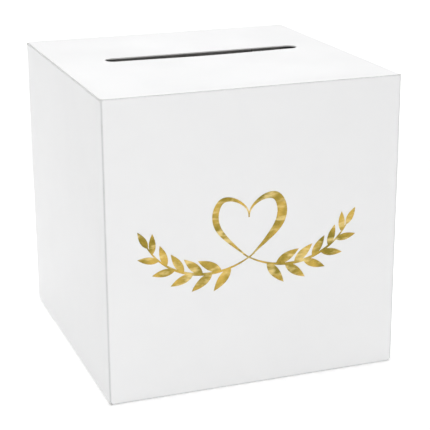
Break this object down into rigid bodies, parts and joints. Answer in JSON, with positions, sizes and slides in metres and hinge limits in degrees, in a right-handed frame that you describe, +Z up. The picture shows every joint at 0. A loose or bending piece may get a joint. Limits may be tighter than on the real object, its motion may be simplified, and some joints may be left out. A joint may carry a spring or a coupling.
{
  "type": "wedding card box",
  "caption": "Cube-shaped folded paperboard box with a slotted tuck-in lid and a foil motif, for collecting greeting cards.",
  "frame": {"origin": "middle of the footprint, on the surface that the box stands on", "axes": "+X to the right along the front wall, +Y from the front wall to the back wall, +Z up through the lid"},
  "size_m": [0.254, 0.2541, 0.254],
  "materials": {
    "white_board": "satin",
    "gold_foil": "polished",
    "adhesive": "matte"
  },
  "bodies": {
    "box": {"front_wall": "white_board", "left_wall": "white_board", "back_wall": "white_board", "right_wall": "white_board", "front_left_crease": "white_board", "front_right_crease": "white_board", "back_right_crease": "white_board", "back_left_crease": "white_board", "glue_flap": "white_board", "glue_tape": "adhesive", "gold_foil_ornament": "gold_foil", "bottom_front_crease": "white_board", "bottom_left_crease": "white_board", "bottom_right_crease": "white_board", "bottom_back_crease": "white_board", "bottom_front_flap": "white_board", "bottom_left_flap": "white_board", "bottom_right_flap": "white_board", "bottom_back_flap": "white_board", "lid_hinge_crease": "white_board", "left_dust_crease": "white_board", "right_dust_crease": "white_board"},
    "lid": {"lid_panel": "white_board", "lid_front_crease": "white_board"},
    "tuck_flap": {"lid_tuck_flap": "white_board"},
    "left_dust_flap": {"left_dust_flap": "white_board"},
    "right_dust_flap": {"right_dust_flap": "white_board"}
  },
  "joints": [
    {"name": "lid_hinge", "type": "hinge", "parent": "box", "child": "lid", "pos_m": [0, 0.1265, 0.2535], "axis": [-1, 0, 0], "range_deg": [0, 175]},
    {"name": "tuck_fold", "type": "hinge", "parent": "lid", "child": "tuck_flap", "pos_m": [0, -0.1252, 0.2535], "axis": [-1, 0, 0], "range_deg": [0, 49]},
    {"name": "left_dust_fold", "type": "hinge", "parent": "box", "child": "left_dust_flap", "pos_m": [-0.1265, 0, 0.2522], "axis": [0, -1, 0], "range_deg": [0, 98]},
    {"name": "right_dust_fold", "type": "hinge", "parent": "box", "child": "right_dust_flap", "pos_m": [0.1265, 0, 0.2522], "axis": [0, 1, 0], "range_deg": [0, 98]}
  ],
  "couplings": [
    {"joint": "tuck_fold", "follows": "lid_hinge", "ratio": 0.28},
    {"joint": "left_dust_fold", "follows": "lid_hinge", "ratio": 0.56},
    {"joint": "right_dust_fold", "follows": "lid_hinge", "ratio": 0.56}
  ]
}
